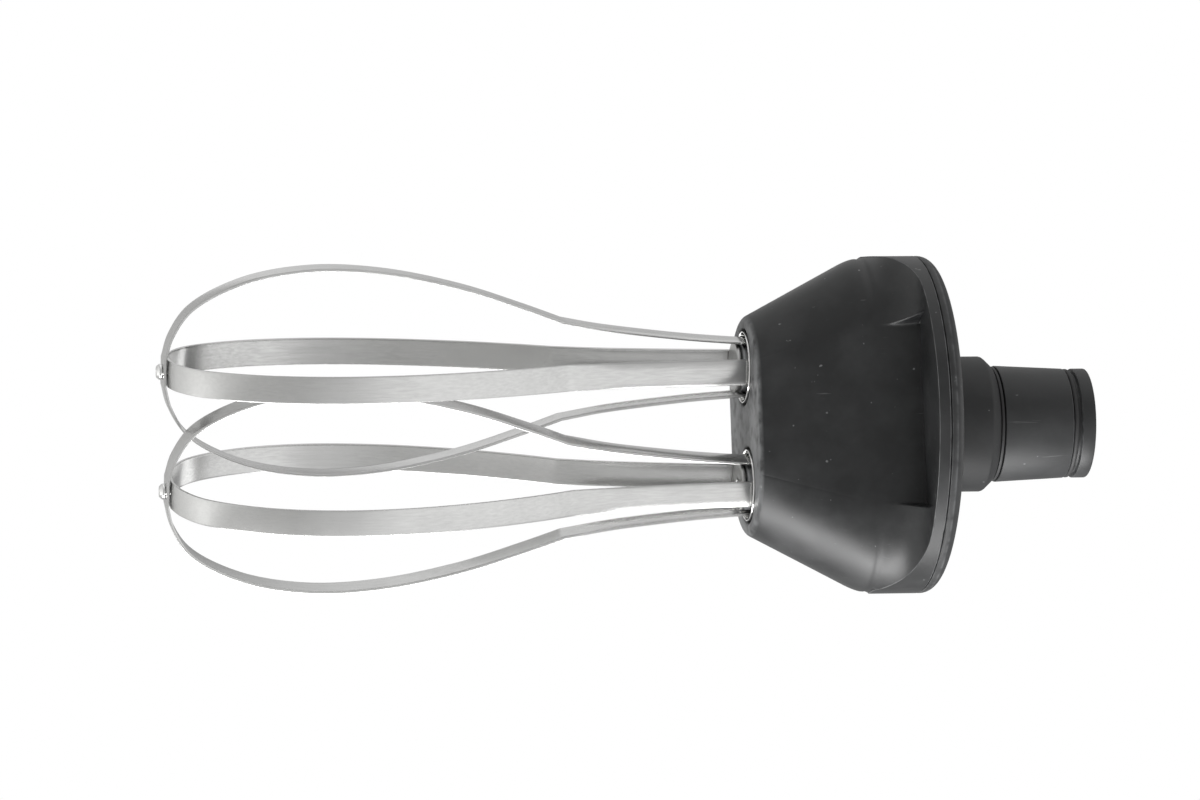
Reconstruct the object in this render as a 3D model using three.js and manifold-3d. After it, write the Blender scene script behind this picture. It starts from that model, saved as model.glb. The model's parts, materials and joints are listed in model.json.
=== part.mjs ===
// Twin whisk tool for a hand-held stick mixer: a moulded gear casing with two balloon whisks that turn
// against each other, driven through a coupling sleeve by the motor unit above it.
// Millimetres, +Z up along the drive axis. The origin is on that axis at the end of the cover's boss,
// where the motor unit's socket stops. The two whisk spindles stand side by side along X and hang down.
import * as THREE from "three";
import { ConvexGeometry } from "three/addons/geometries/ConvexGeometry.js";
import { mergeVertices } from "three/addons/utils/BufferGeometryUtils.js";
import Module from "manifold-3d";

// Driving dimensions.
const GAP = 0.3; // clearance left between neighbouring pieces
const SPACING = 37.5; // between the two whisk axes
const FLANGE_RADIUS = 53.3;
const FLANGE_BOTTOM = -28;
const PARTING = -24.2; // top of the casing, under the cover
const COVER_TOP = -19.5;
const NARROW_END = -78.7; // lower end face of the casing
const SHOULDER = -43; // where the tapered ends reach the flange radius
const CHEEK_START = -40.5; // where the flared cheeks leave the body
const CHEEK_FILLET = FLANGE_BOTTOM - CHEEK_START; // radius of the cheeks' hollow curve
const NARROW_HALF = 34.3; // half length of the oblong end face
const NARROW_DEPTH = 23.1; // half depth of the oblong end face
const SHOULDER_DEPTH = 25;
const FLANGE_DEPTH = 26.3;
const CHEEK_INNER = 28.5; // inner wall of a cheek, from the middle plane

const CAVITY_FLOOR = -57;
const LEDGE = -39.5; // step in the cavity that carries the bearing plate
const PLATE_TOP = LEDGE + 6;
const PLATE_BORE = 9.3; // radius of the bearing plate's holes round the spindles
const SPINDLE_BORE = 14.8; // radius of the casing bore around a spindle
const SEAL_TOP = -71.8; // where the spindle seal ends and the lower bush begins
const END_HOLE = 12.1; // radius of the hole in the end face
const CUP_OUTER = 11.6; // outer radius of a spindle's cup
const CUP_INNER = 10.8;
const CUP_FLOOR = -69; // inner end of the cup, where the whisk's hub stops
const SQUARE = 9.6; // square socket beyond the cup that turns the whisk
const SQUARE_END = -62.4;
const SPINDLE_SHAFT = 8;
const JOURNAL = 6;

const WHISK_MODULE = 1.5; // the two whisk gears
const WHISK_TEETH = 25;
const DRIVE_MODULE = 0.75; // the reduction from the input pinion
const DRIVE_TEETH = 38;
const PINION_TEETH = 12;
const PINION_BOTTOM = -47.4;
const PINION_TOP = -41.2;
const PINION_SHAFT = 3; // radius of the input shaft inside the pinion
const PRESSURE_ANGLE = THREE.MathUtils.degToRad(20);

const SHAFT_RADIUS = 5;
const BOSS_RADIUS = 21.4;
const SLEEVE_LENGTH = 31;
const SLEEVE_ROOT = 18.4; // sleeve radius at the boss
const SLEEVE_TOP = 17.3;
const SLEEVE_BORE = 13.3;
const GROOVE_BOTTOM = 23.9; // seal groove near the sleeve's free end
const GROOVE_TOP = 26.7;
const GROOVE_FLOOR = 15.7;

const STRIP_WIDTH = 8.5;
const STRIP_THICKNESS = 0.9;
const STRIP_END = -71.7; // upper ends of the strips, inside the cup
const SHANK_RADIUS = 9.1; // strips' distance from the whisk axis at the socket
const KNEE = -137; // where the belly of a strip meets its straight shank
const WHISK_TIP = -262.5; // middle of the outer strip's thickness at the tip
const LOOP_STEP = 1.3; // the inner loop lies this much inside the outer one at the tip
const HUB_RADIUS = 7.8;
const PIN_RADIUS = 1.2; // cross pins that hold the strips to the hub
const RIVET_RADIUS = 1.3;
const HUB_BOTTOM = NARROW_END - 1.5;
const HUB_TOP = CUP_FLOOR - GAP;
const PHASE_A = THREE.MathUtils.degToRad(19); // blade angle of whisk a at rest
const PHASE_B = THREE.MathUtils.degToRad(26); // 45 degrees less PHASE_A, so that the blades interleave

const wasm = await Module();
wasm.setup();

const part = new THREE.Group();
const MATERIALS = {
  casing: { color: 0x303133, roughness: 0.55, metalness: 0 },
  cover: { color: 0x2c2d2f, roughness: 0.5, metalness: 0 },
  steel: { color: 0xb9babb, roughness: 0.3, metalness: 1 },
  polished: { color: 0xd8d9da, roughness: 0.12, metalness: 1 },
  gear: { color: 0x8f9092, roughness: 0.4, metalness: 1 },
  nylon: { color: 0xe6e2d6, roughness: 0.6, metalness: 0 },
  bronze: { color: 0xa9824a, roughness: 0.5, metalness: 1 },
  rubber: { color: 0x1a1a1b, roughness: 0.8, metalness: 0 },
  aluminium: { color: 0xa4a6a8, roughness: 0.45, metalness: 1 },
};

// A closed three.js geometry as a solid for joining and cutting.
function solid(geometry) {
  const bare = geometry.clone();
  bare.deleteAttribute("normal");
  bare.deleteAttribute("uv");
  const merged = mergeVertices(bare, 1e-4);
  return new wasm.Manifold(
    new wasm.Mesh({
      numProp: 3,
      vertProperties: new Float32Array(merged.attributes.position.array),
      triVerts: new Uint32Array(merged.index.array),
    }),
  );
}

// Adds a solid to the part as one named mesh.
function add(name, made, material) {
  const mesh = made.getMesh();
  const geometry = new THREE.BufferGeometry();
  geometry.setAttribute("position", new THREE.BufferAttribute(mesh.vertProperties, 3));
  geometry.setIndex(new THREE.BufferAttribute(mesh.triVerts, 1));
  geometry.computeVertexNormals();
  const node = new THREE.Mesh(geometry, new THREE.MeshStandardMaterial(MATERIALS[material]));
  node.name = name;
  part.add(node);
}

// A turned piece about Z from its [radius, height] profile, which closes on itself or ends on the axis.
function turned(profile, segments = 24) {
  const points = profile.map(([radius, height]) => new THREE.Vector2(radius, height));
  const onAxis = profile[0][0] === 0 && profile.at(-1)[0] === 0;
  if (THREE.ShapeUtils.area(points) < 0) points.reverse();
  if (!onAxis) points.push(points[0].clone());
  return solid(new THREE.LatheGeometry(points, segments).rotateX(Math.PI / 2));
}

function tube(outer, inner, low, high, segments = 24) {
  return turned([[inner, low], [outer, low], [outer, high], [inner, high]], segments);
}

function rod(radius, low, high, segments = 24) {
  return turned([[0, low], [radius, low], [radius, high], [0, high]], segments);
}

// A flat outline extruded along Z between two heights.
function plate(shape, low, high) {
  const settings = { depth: high - low, bevelEnabled: false, curveSegments: 12 };
  return solid(new THREE.ExtrudeGeometry(shape, settings).translate(0, 0, low));
}

function block(width, depth, low, high) {
  const middle = (low + high) / 2;
  return solid(new THREE.BoxGeometry(width, depth, high - low).translate(0, 0, middle));
}

function ends(half, radius, steps = 12) {
  const points = [];
  for (const side of [1, -1]) {
    for (let i = 0; i <= steps; i += 1) {
      const angle = (i / steps - 0.5) * Math.PI;
      points.push([
        side * (half - radius + radius * Math.cos(angle)),
        side * radius * Math.sin(angle),
      ]);
    }
  }
  return points;
}

// The solid between oblong sections, each [height, half length, half depth], which widen steadily.
function oblong(sections) {
  const points = sections.flatMap(([height, half, radius]) =>
    ends(half, radius).map(([x, y]) => new THREE.Vector3(x, y, height)),
  );
  return solid(new ConvexGeometry(points));
}

function join(solids) {
  return solids.reduce((whole, piece) => whole.add(piece));
}

// Two cheeks that flare from the body's round ends out to the flange in a hollow curve.
function cheeks() {
  const steps = 5;
  const sections = [];
  for (let i = 0; i <= steps; i += 1) {
    const rise = CHEEK_FILLET * Math.sin(((i / steps) * Math.PI) / 2);
    const flare = CHEEK_FILLET - Math.sqrt(CHEEK_FILLET ** 2 - rise ** 2);
    sections.push([CHEEK_START + rise, FLANGE_RADIUS + flare, SHOULDER_DEPTH + flare]);
  }
  const slabs = sections.slice(1).map((section, index) => oblong([sections[index], section]));
  return join(slabs)
    .intersect(rod(FLANGE_RADIUS, CHEEK_START, FLANGE_BOTTOM, 60))
    .subtract(block(2 * CHEEK_INNER, 3 * FLANGE_RADIUS, CHEEK_START - 1, FLANGE_BOTTOM + 1));
}

function at(x, made, y = 0) {
  return made.translate([x, y, 0]);
}

const AXES = { a: -SPACING / 2, b: SPACING / 2 };
const SCREWS = [
  [36.5, 22.8],
  [-36.5, 22.8],
  [-36.5, -22.8],
  [36.5, -22.8],
];
const SCREW_SEAT = COVER_TOP - 2.4; // floor of the recesses for the screw heads
const PLATE_SCREW = 43.6; // distance of the two plate screws from the middle

function gearCasing() {
  const body = join([
    oblong([
      [NARROW_END, NARROW_HALF - 0.8, NARROW_DEPTH - 0.8],
      [NARROW_END + 0.8, NARROW_HALF, NARROW_DEPTH],
      [SHOULDER - 3, FLANGE_RADIUS - 1.6, SHOULDER_DEPTH - 0.3],
      [SHOULDER, FLANGE_RADIUS - 0.5, SHOULDER_DEPTH],
      [SHOULDER + 3, FLANGE_RADIUS, SHOULDER_DEPTH + 0.2],
      [FLANGE_BOTTOM + 0.5, FLANGE_RADIUS, FLANGE_DEPTH],
    ]),
    cheeks(),
    rod(FLANGE_RADIUS, FLANGE_BOTTOM, PARTING, 60),
  ]);
  const hollows = [
    oblong([
      [CAVITY_FLOOR, 41, 21.3],
      [LEDGE, 41, 21.3],
    ]),
    oblong([
      [LEDGE, 47, 22.2],
      [PARTING + 1, 47, 22.6],
    ]),
    tube(50.6, 48.6, PARTING - 1.9, PARTING + 1, 60),
  ];
  for (const x of Object.values(AXES)) {
    hollows.push(at(x, rod(SPINDLE_BORE, NARROW_END + 1.5, CAVITY_FLOOR + 1)));
    hollows.push(at(x, rod(END_HOLE, NARROW_END - 1, NARROW_END + 3)));
  }
  for (const [x, y] of SCREWS) hollows.push(at(x, rod(1.8, PARTING - 7, PARTING + 1, 12), y));
  for (const side of [1, -1]) {
    hollows.push(at(side * PLATE_SCREW, rod(1.6, LEDGE - 7, LEDGE + 1, 12)));
  }
  add("gear_casing", hollows.reduce((left, hollow) => left.subtract(hollow), body), "casing");
}

function casingCover() {
  const low = PARTING + GAP;
  const shell = turned(
    [
      [0, low],
      [FLANGE_RADIUS, low],
      [FLANGE_RADIUS, low + 0.8],
      [FLANGE_RADIUS - 0.9, COVER_TOP - 0.8],
      [FLANGE_RADIUS - 3, COVER_TOP],
      [BOSS_RADIUS + 4, COVER_TOP],
      [BOSS_RADIUS + 1.2, COVER_TOP + 1.2],
      [BOSS_RADIUS, COVER_TOP + 4],
      [BOSS_RADIUS, -3.2],
      [BOSS_RADIUS - 2.4, -0.5],
      [BOSS_RADIUS - 3, 0],
      [0, 0],
    ],
    60,
  );
  let cover = shell
    .subtract(rod(13.4, low - 1, -11.6))
    .subtract(rod(8, -12, -6))
    .subtract(rod(11.4, -9.6, -5))
    .subtract(rod(16.3, -8.2, 1, 40));
  for (const [x, y] of SCREWS) {
    const recess = join([
      rod(1.8, low - 1, COVER_TOP, 12),
      rod(3.5, SCREW_SEAT, COVER_TOP + 1, 16),
    ]);
    cover = cover.subtract(at(x, recess, y));
  }
  add("casing_cover", cover, "cover");
}

function sleeve() {
  const tubeWall = turned(
    [
      [SLEEVE_BORE, -7.9],
      [16, -7.9],
      [16, 1.6],
      [SLEEVE_ROOT, 1.6],
      [SLEEVE_TOP, GROOVE_BOTTOM],
      [GROOVE_FLOOR, GROOVE_BOTTOM],
      [GROOVE_FLOOR, GROOVE_TOP],
      [SLEEVE_TOP, GROOVE_TOP],
      [SLEEVE_TOP, SLEEVE_LENGTH - 0.8],
      [SLEEVE_TOP - 0.8, SLEEVE_LENGTH],
      [SLEEVE_BORE + 0.5, SLEEVE_LENGTH],
      [SLEEVE_BORE, SLEEVE_LENGTH - 0.5],
    ],
    40,
  );
  add("coupling_sleeve", tubeWall, "casing");
  add("boss_seal_ring", tube(SLEEVE_ROOT - 0.25, 16.3, GAP, 1.3, 40), "rubber");
  const ringRadius = 0.6;
  const round = [0, 1, 2, 3, 4, 5].map((step) => {
    const angle = (step * Math.PI) / 3;
    return [
      GROOVE_FLOOR + 0.2 + ringRadius * (1 + Math.cos(angle)),
      GROOVE_BOTTOM + GAP + ringRadius * (1 + Math.sin(angle)),
    ];
  });
  add("sleeve_o_ring", turned(round, 40), "rubber");
}

function coverParts() {
  add("cover_seal", tube(50.3, 48.9, PARTING - 1.6, PARTING + 0.1, 60), "rubber");
  SCREWS.forEach(([x, y], index) => {
    const screw = turned(
      [
        [0, PARTING - 6],
        [1.4, PARTING - 6],
        [1.4, SCREW_SEAT + GAP],
        [3.1, SCREW_SEAT + GAP],
        [3.1, SCREW_SEAT + 1.5],
        [2.2, SCREW_SEAT + 2.1],
        [0, SCREW_SEAT + 2.1],
      ],
      16,
    ).subtract(block(4.4, 0.9, SCREW_SEAT + 1.3, SCREW_SEAT + 3));
    add(`cover_screw_${index + 1}`, at(x, screw, y), "steel");
  });
}

function bearingPlate() {
  let made = oblong([
    [LEDGE + GAP, 46.5, 21.7],
    [PLATE_TOP, 46.5, 21.7],
  ]).subtract(rod(6.9, LEDGE - 1, PLATE_TOP + 1));
  for (const x of Object.values(AXES)) {
    made = made.subtract(at(x, rod(PLATE_BORE, LEDGE - 1, PLATE_TOP + 1)));
  }
  for (const side of [1, -1]) {
    made = made.subtract(at(side * PLATE_SCREW, rod(1.7, LEDGE - 1, PLATE_TOP + 1, 12)));
  }
  add("bearing_plate", made, "aluminium");
  for (const [side, name] of [[1, "1"], [-1, "2"]]) {
    const screw = join([
      rod(1.3, LEDGE - 6, PLATE_TOP + 1, 12),
      rod(2.6, PLATE_TOP + GAP, PLATE_TOP + 2.5, 12),
    ]);
    add(`plate_screw_${name}`, at(side * PLATE_SCREW, screw), "steel");
  }
  add("input_lower_bush", tube(6.6, 4.3, LEDGE + GAP, PLATE_TOP), "bronze");
}

// An involute spur gear on Z with one tooth on +X.
function gear(teeth, size, bore, low, high) {
  const pitch = (teeth * size) / 2;
  const base = pitch * Math.cos(PRESSURE_ANGLE);
  const tip = pitch + 0.85 * size;
  const root = pitch - 1.15 * size;
  const backlash = 0.09 * size;
  const involute = (angle) => Math.tan(angle) - angle;
  const halfAt = (radius) => {
    const angle = Math.acos(Math.min(1, base / radius));
    const half = Math.PI / (2 * teeth) - backlash / pitch;
    return half + involute(PRESSURE_ANGLE) - involute(angle);
  };
  const start = Math.max(root, base);
  const radii = root < base ? [root, start + 0.02, pitch, tip] : [root, pitch, tip];
  const outline = [];
  for (let tooth = 0; tooth < teeth; tooth += 1) {
    const centre = (tooth * 2 * Math.PI) / teeth;
    const flank = radii.map((radius) => [radius, halfAt(Math.max(radius, start))]);
    for (const [radius, half] of flank) outline.push([radius, centre - half]);
    for (const [radius, half] of flank.toReversed()) outline.push([radius, centre + half]);
  }
  const corners = outline.map(
    ([radius, angle]) => new THREE.Vector2(radius * Math.cos(angle), radius * Math.sin(angle)),
  );
  const shape = new THREE.Shape(corners);
  const hole = new THREE.Path();
  hole.absarc(0, 0, bore, 0, Math.PI * 2, true);
  shape.holes.push(hole);
  return plate(shape, low, high);
}

function spindle(letter, x, phase) {
  const turn = THREE.MathUtils.radToDeg(phase);
  const body = turned([
    [0, CAVITY_FLOOR + 6],
    [0, NARROW_END - GAP],
    [CUP_OUTER, NARROW_END - GAP],
    [CUP_OUTER, CAVITY_FLOOR - 0.9],
    [13.5, CAVITY_FLOOR - 0.9],
    [13.5, CAVITY_FLOOR + 0.7],
    [SPINDLE_SHAFT, CAVITY_FLOOR + 0.7],
    [SPINDLE_SHAFT, LEDGE - 1.2],
    [JOURNAL, LEDGE - 1.2],
    [JOURNAL, LEDGE + 6.6],
    [JOURNAL - 0.8, LEDGE + 6.6],
    [JOURNAL - 0.8, LEDGE + 7.8],
    [JOURNAL, LEDGE + 7.8],
    [JOURNAL, LEDGE + 9],
    [0, LEDGE + 9],
  ]);
  const made = body
    .subtract(rod(CUP_INNER, NARROW_END - 1, CUP_FLOOR))
    .subtract(block(SQUARE, SQUARE, CUP_FLOOR - 1, SQUARE_END).rotate([0, 0, turn]));
  add(`spindle_${letter}`, at(x, made), "polished");
  const seal = tube(SPINDLE_BORE - GAP, CUP_OUTER + GAP, NARROW_END + 1.8, SEAL_TOP);
  add(`spindle_seal_${letter}`, at(x, seal), "rubber");
  const bush = tube(SPINDLE_BORE - GAP, CUP_OUTER + GAP, SEAL_TOP + 0.4, CAVITY_FLOOR - 1.3);
  add(`lower_bush_${letter}`, at(x, bush), "bronze");
  const plateBush = tube(PLATE_BORE - GAP, JOURNAL + GAP, LEDGE + GAP, PLATE_TOP);
  add(`upper_bush_${letter}`, at(x, plateBush), "bronze");
  const clipGap = at(7, block(5, 3.4, LEDGE, LEDGE + 9));
  const clip = tube(8, JOURNAL - 0.5, LEDGE + 6.8, LEDGE + 7.6).subtract(clipGap);
  add(`spindle_circlip_${letter}`, at(x, clip), "steel");
  const low = CAVITY_FLOOR + 1;
  const whiskGear = gear(WHISK_TEETH, WHISK_MODULE, SPINDLE_SHAFT + GAP, low, low + 8);
  add(`whisk_gear_${letter}`, at(x, whiskGear), "nylon");
}

function inputDrive() {
  const shaft = turned([
    [0, PINION_BOTTOM],
    [PINION_SHAFT, PINION_BOTTOM],
    [PINION_SHAFT, -40.6],
    [4, -40.6],
    [4, -32.8],
    [SHAFT_RADIUS, -32.8],
    [SHAFT_RADIUS, -1],
    [6.6, 0],
    [6.6, 10],
    [0, 10],
  ]).subtract(block(7, 7, 2, 11));
  add("input_shaft", shaft, "steel");
  const pinion = gear(PINION_TEETH, DRIVE_MODULE, PINION_SHAFT + 0.2, PINION_BOTTOM, PINION_TOP);
  add("input_pinion", pinion.rotate([0, 0, 180 / PINION_TEETH]), "gear");
  const [low, high] = [-20, -12];
  const middle = (low + high) / 2;
  add("input_bearing_inner", tube(7.4, SHAFT_RADIUS + GAP, low, high), "steel");
  add("input_bearing_outer", tube(13.1, 10.7, low, high), "steel");
  const ballCircle = 9.05;
  const cage = tube(ballCircle + 0.25, ballCircle - 0.25, middle - 1, middle + 1);
  const balls = [];
  for (let i = 0; i < 8; i += 1) {
    const angle = (i * Math.PI) / 4;
    const ball = new THREE.SphereGeometry(1.3, 8, 5).rotateX(Math.PI / 2);
    ball.translate(ballCircle * Math.cos(angle), ballCircle * Math.sin(angle), middle);
    balls.push(solid(ball));
  }
  add("input_ball_cage", join([cage, ...balls]), "steel");
  add("input_shaft_seal", tube(11.1, SHAFT_RADIUS + GAP, -9.3, -8.4 + GAP), "rubber");
  const driven = gear(DRIVE_TEETH, DRIVE_MODULE, SPINDLE_SHAFT + GAP, PINION_BOTTOM, PINION_TOP);
  add("drive_gear", at(AXES.a, driven), "gear");
}

// The side view of one strip from the tip to its end in the socket, as points of the strip's middle.
function stripSide(tip) {
  const bend = 4.2; // half width of the flat piece at the tip
  const belly = new THREE.CatmullRomCurve3(
    [
      [bend, tip],
      [11.2, tip + 2],
      [20, tip + 8],
      [28.6, tip + 24.2],
      [32.5, tip + 45.5],
      [31.5, tip + 68.5],
      [26.4, tip + 93.5],
      [20.1, tip + 113],
      [15.6, KNEE],
    ].map(([radius, height]) => new THREE.Vector3(radius, height, 0)),
    false,
    "centripetal",
  );
  const points = belly.getPoints(26).map(({ x, y }) => [x, y]);
  points.push([13.6, -124]);
  points.push([10.75, -100]);
  points.push([9.6, -86.6]);
  points.push([SHANK_RADIUS, NARROW_END + 0.7]);
  points.push([SHANK_RADIUS, STRIP_END]);
  return points;
}

// A rod along X through the whisk axis.
function crossRod(radius, length, height) {
  const made = new THREE.CylinderGeometry(radius, radius, length, 12);
  return solid(made.rotateZ(Math.PI / 2).translate(0, 0, height));
}

// A flat strip bent into one loop across a whisk, with holes for its cross pin and the tip rivet.
function stripLoop(tip, pinHeight) {
  const half = stripSide(tip);
  const line = [...half.toReversed().map(([r, z]) => [-r, z]), ...half];
  const edge = (sign) =>
    line.map(([r, z], index) => {
      const [r0, z0] = line[Math.max(index - 1, 0)];
      const [r1, z1] = line[Math.min(index + 1, line.length - 1)];
      const length = Math.hypot(r1 - r0, z1 - z0);
      const offset = (sign * STRIP_THICKNESS) / 2 / length;
      return new THREE.Vector2(r + (z1 - z0) * offset, z - (r1 - r0) * offset);
    });
  const shape = new THREE.Shape([...edge(1), ...edge(-1).reverse()]);
  const strip = new THREE.ExtrudeGeometry(shape, { depth: STRIP_WIDTH, bevelEnabled: false });
  strip.translate(0, 0, -STRIP_WIDTH / 2).rotateX(Math.PI / 2);
  return solid(strip)
    .subtract(rod(RIVET_RADIUS + GAP, tip - 3, tip + 3, 12))
    .subtract(crossRod(PIN_RADIUS + GAP, 24, pinHeight));
}

function whisk(letter, x, phase) {
  const turn = THREE.MathUtils.radToDeg(phase);
  const place = (made) => at(x, made.rotate([0, 0, turn]));
  const pinHeights = { outer: HUB_TOP - 4.2, inner: HUB_TOP - 7.8 };
  const tips = { outer: WHISK_TIP, inner: WHISK_TIP + LOOP_STEP };
  // The outer loop lies along the row of whisks and the inner loop across it.
  const turns = { outer: 0, inner: 90 };
  let hub = join([
    turned([
      [0, HUB_BOTTOM],
      [HUB_RADIUS, HUB_BOTTOM],
      [HUB_RADIUS, HUB_TOP - 1.9],
      [6.9, HUB_TOP - 1.9],
      [6.9, HUB_TOP - 0.7],
      [HUB_RADIUS, HUB_TOP - 0.7],
      [HUB_RADIUS, HUB_TOP],
      [0, HUB_TOP],
    ]),
    block(SQUARE - 2 * GAP, SQUARE - 2 * GAP, HUB_TOP - 0.5, SQUARE_END - 0.5),
  ]);
  for (const loop of ["outer", "inner"]) {
    const facing = [0, 0, turns[loop]];
    const height = pinHeights[loop];
    hub = hub.subtract(crossRod(PIN_RADIUS + GAP, 30, height).rotate(facing));
    const strip = stripLoop(tips[loop], height).rotate(facing);
    add(`whisk_${letter}_${loop}_loop`, place(strip), "steel");
    const pin = crossRod(PIN_RADIUS, 2 * SHANK_RADIUS + 2, height).rotate(facing);
    add(`whisk_${letter}_${loop}_pin`, place(pin), "steel");
  }
  add(`whisk_${letter}_hub`, place(hub), "aluminium");
  add(`whisk_${letter}_retaining_ring`, place(tube(10.5, 7.2, HUB_TOP - 1.7, HUB_TOP - 0.9)), "rubber");
  add(`whisk_${letter}_hub_washer`, place(rod(8, HUB_BOTTOM - 1.6, HUB_BOTTOM - GAP)), "steel");
  const rivet = turned(
    [
      [0, WHISK_TIP - 2.2],
      [1.5, WHISK_TIP - 1.9],
      [2.5, WHISK_TIP - 0.75],
      [RIVET_RADIUS, WHISK_TIP - 0.75],
      [RIVET_RADIUS, WHISK_TIP + LOOP_STEP + 0.75],
      [2.3, WHISK_TIP + LOOP_STEP + 0.75],
      [1.6, WHISK_TIP + LOOP_STEP + 1.6],
      [0, WHISK_TIP + LOOP_STEP + 1.9],
    ],
    16,
  );
  add(`whisk_${letter}_tip_rivet`, place(rivet), "polished");
}

gearCasing();
casingCover();
sleeve();
coverParts();
bearingPlate();
spindle("a", AXES.a, PHASE_A);
spindle("b", AXES.b, PHASE_B);
inputDrive();
whisk("a", AXES.a, PHASE_A);
whisk("b", AXES.b, PHASE_B);

export default part;
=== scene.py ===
"""Looks of a twin whisk tool for a hand-held stick mixer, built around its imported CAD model.

The drive axis is Z with the motor unit above. The whisks hang down side by side along X.
"""

import json
import math

import bpy
from mathutils import Matrix, Vector


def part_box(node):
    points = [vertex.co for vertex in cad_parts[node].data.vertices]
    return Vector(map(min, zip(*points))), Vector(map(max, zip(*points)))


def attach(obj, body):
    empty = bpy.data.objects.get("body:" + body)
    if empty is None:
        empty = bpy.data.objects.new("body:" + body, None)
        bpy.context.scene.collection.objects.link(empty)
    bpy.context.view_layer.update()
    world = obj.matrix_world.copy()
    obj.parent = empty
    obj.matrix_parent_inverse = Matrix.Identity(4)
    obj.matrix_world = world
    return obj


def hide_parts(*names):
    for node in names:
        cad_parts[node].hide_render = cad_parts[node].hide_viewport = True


bl_info = {
    "name": "Twin whisk tool",
    "version": (1, 0, 0),
    "blender": (4, 5, 0),
    "location": "View3D > Sidebar > Whisk tool",
    "description": "Builds the casing, sleeve, spindle rims and strip whisks around the CAD frame",
    "category": "Object",
}

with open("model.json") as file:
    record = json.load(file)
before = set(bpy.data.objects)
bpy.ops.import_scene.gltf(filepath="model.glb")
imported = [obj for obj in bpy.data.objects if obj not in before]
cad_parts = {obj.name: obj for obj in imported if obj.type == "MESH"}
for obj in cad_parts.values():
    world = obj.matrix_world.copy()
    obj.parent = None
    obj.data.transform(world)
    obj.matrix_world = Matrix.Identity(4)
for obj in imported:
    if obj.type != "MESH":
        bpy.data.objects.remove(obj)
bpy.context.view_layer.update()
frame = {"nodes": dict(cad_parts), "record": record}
MM = 0.001


def box_of(node):
    """The low and high corners of a CAD part, in millimetres."""
    return [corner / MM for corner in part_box(node)]


# Places taken from the frame, in millimetres.
CASING_LOW, CASING_HIGH = box_of("gear_casing")
COVER_LOW, COVER_HIGH = box_of("casing_cover")
SLEEVE_LOW, SLEEVE_HIGH = box_of("coupling_sleeve")
RIM_RADIUS = CASING_HIGH.x
GROOVE_LOW, GROOVE_HIGH = SLEEVE_HIGH.z - 7.1, SLEEVE_HIGH.z - 4.3  # seal groove
END_FACE = CASING_LOW.z
PARTING = CASING_HIGH.z
AXIS_X = {
    letter: sum(corner.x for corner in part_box(f"spindle_{letter}")) / 2 / MM for letter in "ab"
}
WHISKS = {"a": 19.0, "b": 26.0}  # blade angle of each whisk at rest, in degrees

# Sizes inside the tool, in millimetres.
CUP_FLOOR = -69.0  # inner end of the spindles' cups, where the hubs stop
SEAL_TOP = -71.8  # upper end of the spindles' lip seals
SPINDLE_BORE = 14.8  # radius of the casing's bores round the spindles
CAVITY_FLOOR = -57.0
CAVITY_HALF, CAVITY_DEPTH = 41.0, 21.3  # half length and half depth of the gears' cavity
LEDGE = -39.5  # where the cavity widens for the bearing plate
PLATE_HALF, PLATE_DEPTH = 47.0, 22.2  # half length and half depth of the plate's pocket
SLEEVE_SEAT = 16.3  # radius of the pocket in the boss that takes the sleeve's foot
SLEEVE_INNER = 13.3  # radius of the sleeve's bore
SHAFT_HOLLOW = 13.4  # radius of the cover's hollow under the input bearing
SCREW_RECESS = 3.5  # radius of the recesses for the cover's screws

MATERIALS = {}  # by material slot, filled in main


# Properties


class CasingSizes(bpy.types.PropertyGroup):
    end_half: bpy.props.FloatProperty(
        name="End half length", description="Half length of the oblong end face, mm", default=34.3
    )
    end_depth: bpy.props.FloatProperty(
        name="End half depth", description="Half depth of the oblong end face, mm", default=23.1
    )
    shoulder: bpy.props.FloatProperty(
        name="Shoulder height",
        description="Where the tapered ends reach the rim, mm",
        default=-43.0,
    )
    flange_depth: bpy.props.FloatProperty(
        name="Depth at the flange",
        description="Half depth of the body at the flange, mm",
        default=26.3,
    )
    cheek_start: bpy.props.FloatProperty(
        name="Cheek start",
        description="Height where the cheeks begin to flare, mm",
        default=-40.5,
    )
    cheek_inner: bpy.props.FloatProperty(
        name="Cheek wall",
        description="Distance of the cheeks' inner walls from the middle, mm",
        default=28.5,
    )
    flange_thickness: bpy.props.FloatProperty(
        name="Flange thickness",
        description="Thickness of the casing's round flange, mm",
        default=3.8,
    )
    end_hole: bpy.props.FloatProperty(
        name="End hole",
        description="Radius of the spindle holes in the end face, mm",
        default=12.1,
    )


class WhiskSizes(bpy.types.PropertyGroup):
    strip_width: bpy.props.FloatProperty(
        name="Strip width", description="Width of the steel strip, mm", default=8.5
    )
    strip_thickness: bpy.props.FloatProperty(
        name="Strip thickness", description="Thickness of the steel strip, mm", default=0.9
    )
    trough: bpy.props.FloatProperty(
        name="Trough depth",
        description="Depth of the stiffening trough in the shanks, mm",
        default=0.75,
    )


class Colours(bpy.types.PropertyGroup):
    plastic: bpy.props.StringProperty(
        name="Plastic", description="sRGB hex of the moulded casing", default="131415"
    )
    # Also the colour of the painted highlight on the casing's rim edge and of the painted light on
    # its end face.
    worn_and_lit_plastic: bpy.props.StringProperty(
        name="Worn plastic", description="sRGB hex of the casing's rubbed edges", default="6E6F70"
    )
    strip: bpy.props.StringProperty(
        name="Strip steel", description="sRGB hex of the whisk strips", default="C9C9C8"
    )


# Small tools


def unselect():
    """Deselects everything, in object mode."""
    if bpy.context.mode != "OBJECT":
        bpy.ops.object.mode_set(mode="OBJECT")
    bpy.ops.object.select_all(action="DESELECT")


def choose(piece):
    unselect()
    piece.select_set(True)
    bpy.context.view_layer.objects.active = piece


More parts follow.
